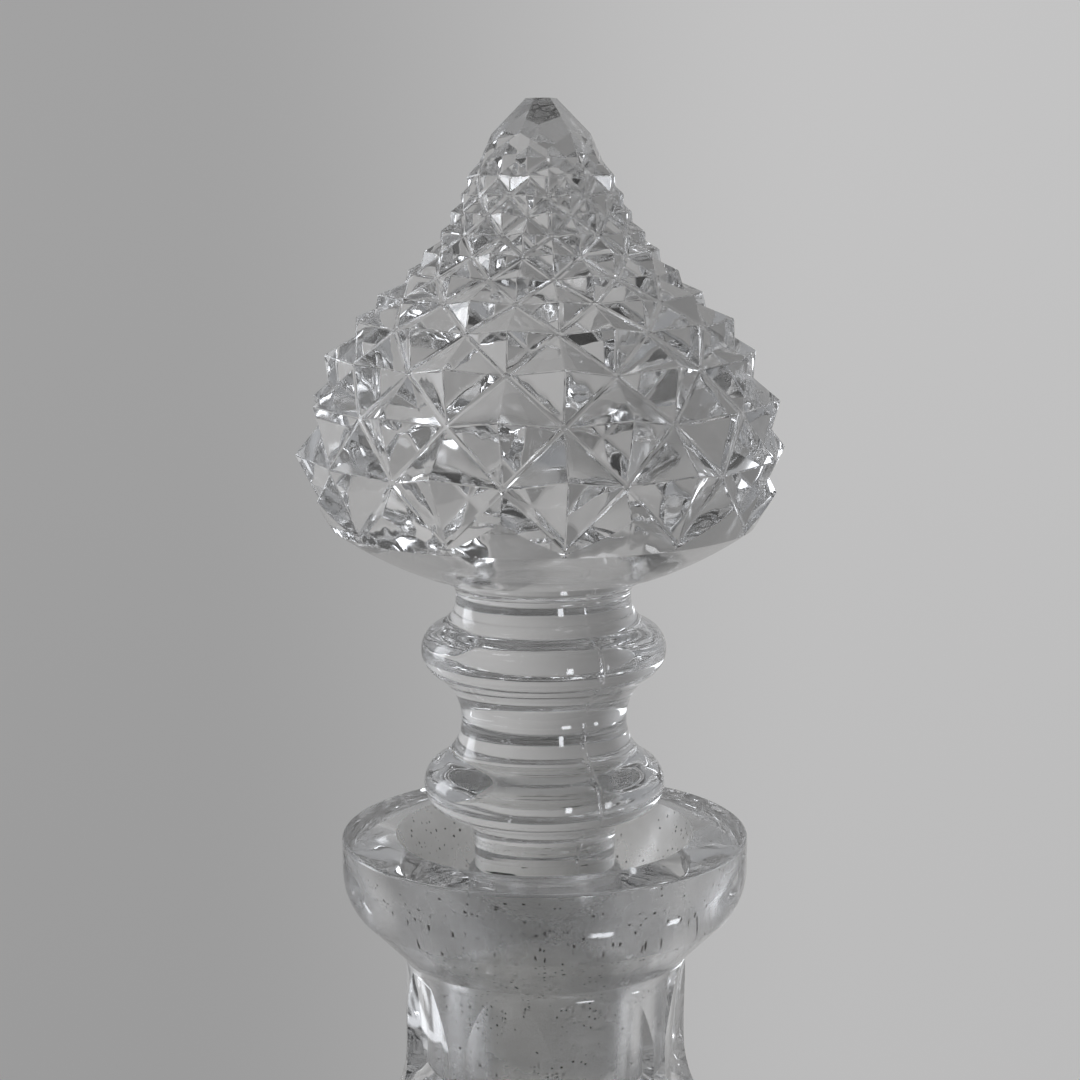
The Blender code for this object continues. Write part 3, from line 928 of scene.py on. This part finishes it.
def groove_glass():
    """The grooves between diamonds, the roughest of the polished glass."""
    return polished_glass(
        "groove_glass", tint=0.87, wave_scale=300, wave_height=0.1 * MM, roughness=(0.03, 0.12))


def shaded_bowl_glass():
    """The turned underside of the finial, softened by wear, with its tint darkened as painted shade under
    the finial.
    """
    # The low tint of 0.75 is painted shade on the finial's underside, not the glass's own colour
    return polished_glass(
        "shaded_bowl_glass", tint=0.75, wave_scale=160, wave_height=0.12 * MM, roughness=(0.03, 0.08))


def matt_glass(name, surface, patch_scale, roughness, tints, coarse_share):
    """Glass that is matt all over, with grey patches and old dirt; for the funnel the patches' tints are
    darkened as painted shade.
    """
    material, nodes = new_material(name)
    place = nodes.place()
    patches = nodes.noise(place, patch_scale, PATCH_DETAIL)
    # Grey bloom patches between the given tints; for the funnel these tints also carry painted shade
    bloom_and_shade = nodes.mix(nodes.ramp(patches, *WEAR_SPAN), *tints)
    spots = dirt(nodes, place, coarse_share)
    colour = nodes.mix(spots, bloom_and_shade, DIRT_COLOUR)
    clearness = nodes.ramp(spots, 0.0, 1.0, MATT_CLEARNESS, 0.0)
    matt = nodes.ramp(patches, *WEAR_SPAN, *roughness)
    glass_shader(nodes, colour, matt, surface(nodes, place), clearness)
    return material


def grinding(nodes, place):
    """Fine lines round the joint, with grain between them."""
    lines = nodes.noise(place, scale=400, detail=3, stretch=(0.3, 0.3, 3))
    grain = nodes.noise(place, scale=2500, detail=2)
    height = nodes.add_up(nodes.multiply(lines, GRINDING_SHARE), nodes.multiply(grain, 1 - GRINDING_SHARE))
    return nodes.bump(height, strength=0.6, distance=0.1 * MM)


def soft_grain(nodes, place):
    grain = nodes.noise(place, scale=1500, detail=2)
    return nodes.bump(grain, strength=0.3, distance=0.05 * MM)


def ground_glass():
    """The ground joint: fine grinding lines, a grey bloom and old dirt."""
    tints = ((0.95, 0.95, 0.94, 1), (0.83, 0.83, 0.82, 1))
    return matt_glass(
        "ground_glass", grinding, patch_scale=130, roughness=(0.24, 0.42), tints=tints, coarse_share=0.06)


def shaded_funnel_glass():
    """The mouth's inside: softly matt from wear, with more specks, and tinted darker as painted shade
    inside the mouth.
    """
    # Grey bloom patches between two tints that are set darker than the ground joint's, as painted shade
    # inside the mouth
    tints = ((0.86, 0.86, 0.85, 1), (0.73, 0.73, 0.715, 1))
    return matt_glass(
        "shaded_funnel_glass", soft_grain, patch_scale=140, roughness=(0.24, 0.4), tints=tints, coarse_share=0.3)


def glass_finishes():
    return [clear_glass(), ground_glass(), pressed_glass(), groove_glass(), shaded_bowl_glass(), shaded_funnel_glass()]


# ---- Pieces ----

def add_piece(body, mesh, finish):
    """Shade a mesh and let it stand for the CAD node of a body."""
    name = body + "_glass"
    mesh.name = name
    shade(mesh)
    for face in mesh.polygons:
        face.material_index = finish(face)
    piece = new_object(name, mesh)
    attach(piece, body)
    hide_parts(body)


def stopper_finish(face):
    """The slot a face of the stopper belongs to, from its place."""
    if face.material_index == GROOVE:
        return GROOVE
    height = face.center.z - LIP
    radius = math.hypot(face.center.x, face.center.y)
    if height < -PLUG_TOP:
        return GROUND
    if height < BOWL_FOOT[1]:
        return CLEAR
    return BOWL if radius < BOWL_RIM[0] and height < BOWL_RIM[1] else PRESSED


def make_stopper(materials):
    mesh = combine(finial_mesh(), [
        ("INTERSECT", hexagonal_point()),
        ("INTERSECT", turned_mesh("bowl_cutter", bowl_outline(), even_angles(TURN_STEPS))),
        ("UNION", turned_mesh("stem_core", stem_outline(), seamed_angles(TURN_STEPS), seam_lift)),
    ], materials)
    mesh.transform(Matrix.Translation((0, 0, LIP)) @ Matrix.Rotation(FINIAL_TURN, 4, "Z"))
    add_piece("stopper", mesh, stopper_finish)


def bottle_finish(face):
    """The slot a face of the bottle belongs to, from its place."""
    if face.material_index == GROOVE:
        return GROOVE
    radius = math.hypot(face.center.x, face.center.y)
    inward = face.center.x * face.normal.x + face.center.y * face.normal.y < 0
    depth = LIP - face.center.z
    if inward and radius < MOUTH_RADIUS and depth < BORE_FOOT:
        return GROUND if depth > FUNNEL_DEPTH else FUNNEL
    in_band = band_heights()[0] < face.center.z < BAND_TOP
    return PRESSED if in_band and not inward else CLEAR


def make_bottle(materials):
    outline = [(0, LIP)] + lip_outline() + body_outline() + foot_outline()
    neck_flutes = flute_envelope(
        outline, NECK_FLUTES, LIP - NECK_FLUTE_TOP, LIP - NECK_FLUTE_FOOT, neck_flute_depth)
    base_flutes = flute_envelope(outline, BASE_FLUTES, BASE_FLUTE_TOP, BASE_FLUTE_FOOT, base_flute_depth)
    neck_angles = [NECK_FLUTE_TURN + angle for angle in even_angles(NECK_FLUTES)]
    base_angles = even_angles(BASE_FLUTES, offset=0.5)
    mesh = combine(turned_mesh("bottle", outline, even_angles(TURN_STEPS)), [
        ("INTERSECT", turned_mesh("neck_flutes", neck_flutes, neck_angles)),
        ("INTERSECT", turned_mesh("base_flutes", base_flutes, base_angles)),
        ("UNION", band_mesh()),
        ("DIFFERENCE", turned_mesh("cavity", cavity_outline(), even_angles(TURN_STEPS))),
    ], materials)
    add_piece("bottle", mesh, bottle_finish)


# ---- Stage, light and camera ----

def make_floor():
    """A pale floor that fades into the backdrop with distance."""
    shape = bmesh.new()
    bmesh.ops.create_circle(shape, cap_ends=True, segments=FLOOR_SIDES, radius=FLOOR_RADIUS)
    mesh = finish_mesh(shape, "floor")
    material, nodes = new_material("floor")
    distance = nodes.add("ShaderNodeVectorMath", operation="LENGTH")
    nodes.set(distance, 0, nodes.place())
    seen = nodes.add("ShaderNodeLightPath").outputs["Is Camera Ray"]
    paint = nodes.add("ShaderNodeBsdfDiffuse")
    nodes.set(paint, "Color", nodes.mix(seen, grey(FLOOR_GREY), grey(FLOOR_GREY_SEEN)))
    clear = nodes.add("ShaderNodeBsdfTransparent")
    blend = nodes.add("ShaderNodeMixShader")
    nodes.set(blend, 0, nodes.ramp(distance.outputs["Value"], *FLOOR_FADE))
    nodes.set(blend, 1, paint.outputs[0])
    nodes.set(blend, 2, clear.outputs[0])
    nodes.output("ShaderNodeOutputMaterial", blend.outputs[0])
    mesh.materials.append(material)
    new_object("floor", mesh)


def compass(azimuth, elevation):
    """A direction; azimuth 0 faces -Y and turns towards +X, in degrees."""
    turn = math.radians(azimuth)
    rise = math.radians(elevation)
    return Vector((math.sin(turn) * math.cos(rise), -math.cos(turn) * math.cos(rise), math.sin(rise)))


def window(nodes, direction, facing, width, height, brightness):
    """Brightness of a soft-edged rectangle of light in a direction."""
    side = facing.cross(Vector((0, 0, 1))).normalized()
    up = side.cross(facing)
    shares = []
    for axis, size in ((side, width), (up, height)):
        reach = nodes.math("ABSOLUTE", nodes.dot(direction, axis))
        shares.append(nodes.ramp(reach, size * WINDOW_EDGE, size * WINDOW_CORE))
    in_front = nodes.math("GREATER_THAN", nodes.dot(direction, facing), 0)
    inside = nodes.multiply(nodes.multiply(*shares), in_front)
    return nodes.multiply(inside, brightness)


def make_light():
    """A soft studio: pale walls, a dimmer room behind the camera, windows."""
    world = bpy.data.worlds.new("studio")
    world.use_nodes = True
    bpy.context.scene.world = world
    nodes = Nodes(world.node_tree)
    direction = nodes.add("ShaderNodeTexCoord").outputs["Generated"]
    parts = nodes.add("ShaderNodeSeparateXYZ")
    nodes.set(parts, 0, direction)
    across, depth, up = parts.outputs
    backdrop = nodes.multiply(nodes.ramp(across, *BACKDROP_ACROSS), nodes.ramp(up, *BACKDROP_UP))
    room = nodes.multiply(nodes.ramp(across, *WALLS_ACROSS), nodes.ramp(depth, *ROOM_DEPTH))
    inside = nodes.add_up(room, nodes.ramp(up, *CEILING_UP))
    daylight = nodes.ramp(nodes.math("ABSOLUTE", across), *DAYLIGHT_SIDEWAYS)
    for azimuth, elevation, width, height, brightness in WINDOWS:
        facing = compass(azimuth, elevation).normalized()
        daylight = nodes.add_up(daylight, window(nodes, direction, facing, width, height, brightness))
    light = nodes.vector_sum(nodes.vector_scale(WARM, inside), nodes.vector_scale(COOL, daylight))
    path = nodes.add("ShaderNodeLightPath")
    light = nodes.mix(path.outputs["Is Diffuse Ray"], light, grey(FLOOR_LIGHT))
    light = nodes.mix(path.outputs["Is Camera Ray"], light, backdrop)
    background = nodes.add("ShaderNodeBackground")
    nodes.set(background, "Color", light)
    nodes.output("ShaderNodeOutputWorld", background.outputs[0])


def make_camera():
    """Close up, looking slightly down on the stopper and the lip."""
    camera = bpy.data.cameras.new("camera")
    camera.sensor_width = SENSOR_WIDTH
    camera.lens = CAMERA_LENS
    camera.shift_x = CAMERA_SHIFT
    camera.clip_start = NEAREST
    target = Vector((0, 0, LIP + CAMERA_HEIGHT))
    place = target + CAMERA_DISTANCE * Vector((0, -math.cos(CAMERA_PITCH), math.sin(CAMERA_PITCH)))
    turn = Matrix.Rotation(math.pi / 2 - CAMERA_PITCH, 4, "X") @ Matrix.Rotation(CAMERA_ROLL, 4, "Z")
    item = new_object("camera", camera)
    item.matrix_world = Matrix.Translation(place) @ turn
    bpy.context.scene.camera = item


def set_light_paths():
    """Light has to cross many glass faces before it ends."""
    scene = bpy.context.scene
    scene.view_settings.view_transform = "Standard"
    scene.cycles.max_bounces = GLASS_BOUNCES
    scene.cycles.transmission_bounces = GLASS_BOUNCES
    scene.cycles.glossy_bounces = OTHER_BOUNCES
    scene.cycles.transparent_max_bounces = OTHER_BOUNCES
    scene.cycles.sample_clamp_indirect = BRIGHTEST_BOUNCE
    scene.cycles.use_denoising = True
    scene.cycles.denoising_input_passes = "RGB_ALBEDO"


finishes = glass_finishes()
make_stopper(finishes)
make_bottle(finishes)
make_floor()
make_light()
make_camera()
set_light_paths()
